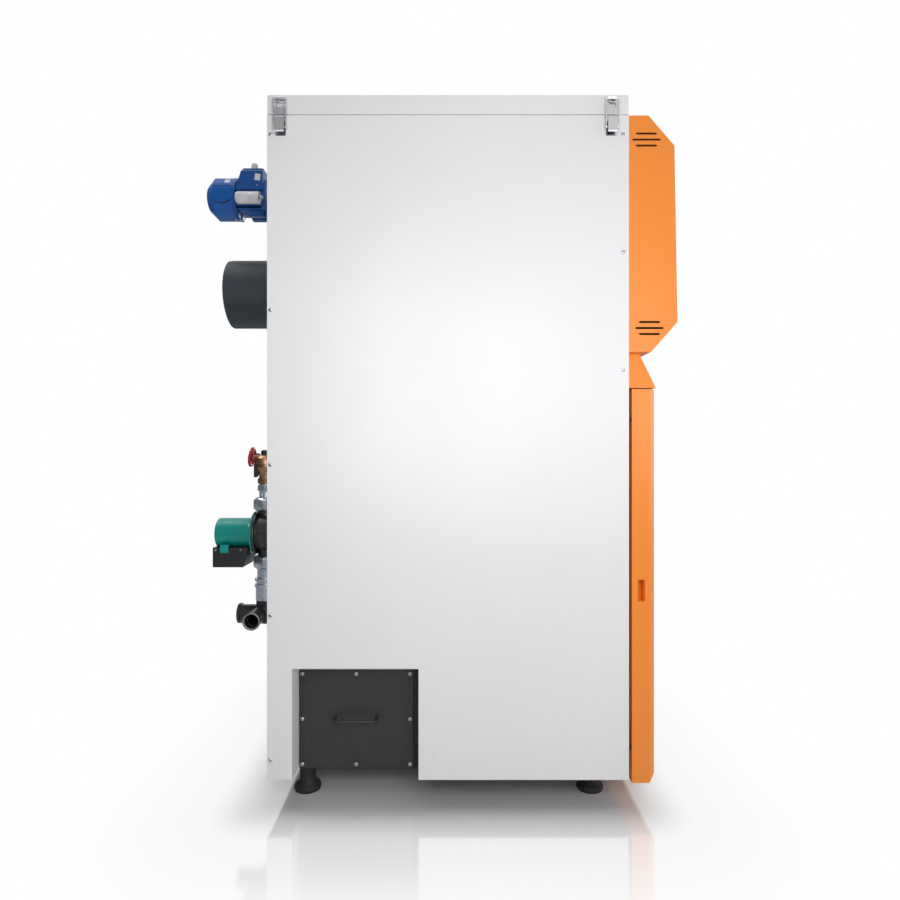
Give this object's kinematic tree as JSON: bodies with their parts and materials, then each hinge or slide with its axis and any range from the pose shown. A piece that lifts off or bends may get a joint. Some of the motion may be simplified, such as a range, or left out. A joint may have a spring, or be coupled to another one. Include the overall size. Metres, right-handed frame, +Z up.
{
  "type": "pellet boiler",
  "caption": "Floor standing pellet boiler with a lidded fuel hopper, orange front door and bonnet, rear flue collar, draught fan motor and return pump line.",
  "frame": {"origin": "on the floor, under the middle of the overall box", "axes": "+Z up, -Y to the orange front, +Y to the flue and motor side, -X to the side with the latches and the ash cover"},
  "size_m": [0.589, 1.035, 1.428],
  "materials": {
    "casing_white": "satin powder coat",
    "front_orange": "satin powder coat",
    "black_enamel": "satin black",
    "slate_paint": "matte heat resisting paint",
    "grey_steel": "mill finish sheet",
    "zinc": "bright zinc",
    "stainless": "polished",
    "cast_black": "black cast",
    "cast_grey": "raw cast",
    "motor_blue": "gloss enamel",
    "motor_casting": "gloss enamel on cast aluminium",
    "pump_green": "satin enamel",
    "black_plastic": "fine texture",
    "grey_plastic": "smooth",
    "red_plastic": "smooth",
    "brass": "cast and machined",
    "galvanised": "galvanised malleable",
    "black_rubber": "matte",
    "rope_white": "glass fibre rope",
    "wool_yellow": "mineral wool",
    "board_beige": "pressed heat board",
    "display_glass": "polished"
  },
  "bodies": {
    "root": {"base_frame": "black_enamel", "levelling_feet": "black_rubber", "left_side_panel": "casing_white", "right_side_panel": "casing_white", "rear_panel": "casing_white", "front_frame": "casing_white", "top_frame": "grey_steel", "casing_screws": "zinc", "hopper": "grey_steel", "rubber_trim": "black_rubber", "casing_hinges": "stainless", "latch_bases": "stainless", "bonnet": "front_orange", "lower_cowl": "front_orange", "control_unit": "black_plastic", "display_glass": "display_glass", "ash_cover": "black_enamel", "ash_cover_gasket": "rope_white", "boiler_body": "slate_paint", "flue_tubes": "slate_paint", "insulation": "wool_yellow", "turbulators": "grey_steel", "auger_tube": "grey_steel", "auger_gear_motor": "cast_grey", "grate_plate": "cast_grey", "burner_pot": "cast_grey", "ash_drawer": "grey_steel", "smoke_riser": "slate_paint", "fan_scroll": "slate_paint", "flue_outlet": "slate_paint", "fan_motor_plate": "zinc", "motor_frame": "motor_casting", "terminal_box": "motor_casting", "motor_cowl": "motor_blue", "motor_capacitor": "grey_plastic", "pump_volute": "cast_black", "pump_motor": "pump_green", "pump_terminal_box": "black_plastic", "pipe_fittings": "galvanised", "pipe_tee": "cast_black", "valve_body": "brass"},
    "lid": {"hopper_lid": "casing_white", "lid_hinge_moving": "stainless", "latch_keepers": "stainless"},
    "front_lever": {"front_latch_lever": "stainless"},
    "rear_lever": {"rear_latch_lever": "stainless"},
    "front_bail": {"front_latch_bail": "stainless"},
    "rear_bail": {"rear_latch_bail": "stainless"},
    "door": {"door_panel": "front_orange", "door_plug": "grey_steel", "door_board": "board_beige", "door_rope": "rope_white", "door_hinge_moving": "stainless"},
    "fan_rotor": {"fan_shaft": "zinc", "fan_impeller": "grey_steel"},
    "auger": {"auger_screw": "grey_steel"},
    "menu_knob": {"control_knob": "grey_plastic"},
    "power_rocker": {"mains_rocker": "black_plastic"},
    "pump_knob": {"pump_speed_knob": "black_plastic"},
    "valve_wheel": {"handwheel": "red_plastic"}
  },
  "joints": [
    {"name": "lid_hinge", "type": "hinge", "parent": "root", "child": "lid", "pos_m": [0.288, 0, 1.386], "axis": [0, 1, 0], "range_deg": [0, 95]},
    {"name": "front_latch", "type": "hinge", "parent": "root", "child": "front_lever", "pos_m": [-0.288, -0.388, 1.374], "axis": [0, 1, 0], "range_deg": [0, 150]},
    {"name": "front_latch_bail", "type": "hinge", "parent": "front_lever", "child": "front_bail", "pos_m": [-0.286, -0.388, 1.361], "axis": [0, 1, 0], "range_deg": [-150, 0]},
    {"name": "rear_latch", "type": "hinge", "parent": "root", "child": "rear_lever", "pos_m": [-0.288, 0.274, 1.374], "axis": [0, 1, 0], "range_deg": [0, 150]},
    {"name": "rear_latch_bail", "type": "hinge", "parent": "rear_lever", "child": "rear_bail", "pos_m": [-0.286, 0.274, 1.361], "axis": [0, 1, 0], "range_deg": [-150, 0]},
    {"name": "door_hinge", "type": "hinge", "parent": "root", "child": "door", "pos_m": [0.288, -0.426, 0.446], "axis": [0, 0, 1], "range_deg": [0, 110]},
    {"name": "fan_spin", "type": "hinge", "parent": "root", "child": "fan_rotor", "pos_m": [0, 0.391, 1.325], "axis": [0, 1, 0], "continuous": true},
    {"name": "auger_spin", "type": "hinge", "parent": "root", "child": "auger", "pos_m": [0, -0.2, 0.962], "axis": [0, 1, 0], "continuous": true},
    {"name": "menu_knob_turn", "type": "hinge", "parent": "root", "child": "menu_knob", "pos_m": [0.07, -0.5155, 1.23901], "axis": [0, -0.9999, 0.017], "range_deg": [-140, 140]},
    {"name": "power_rocker_tilt", "type": "hinge", "parent": "root", "child": "power_rocker", "pos_m": [-0.07, -0.5125, 1.23896], "axis": [-1, 0, 0], "range_deg": [0, 16]},
    {"name": "pump_knob_turn", "type": "hinge", "parent": "root", "child": "pump_knob", "pos_m": [0, 0.5, 0.461], "axis": [0, 1, 0], "range_deg": [-60, 60]},
    {"name": "valve_turn", "type": "hinge", "parent": "root", "child": "valve_wheel", "pos_m": [0, 0.416, 0.701], "axis": [0, 0.9903, 0.1392], "range_deg": [0, 1080]}
  ],
  "couplings": [
    {"joint": "front_latch_bail", "follows": "front_latch", "ratio": -1},
    {"joint": "rear_latch_bail", "follows": "rear_latch", "ratio": -1}
  ]
}
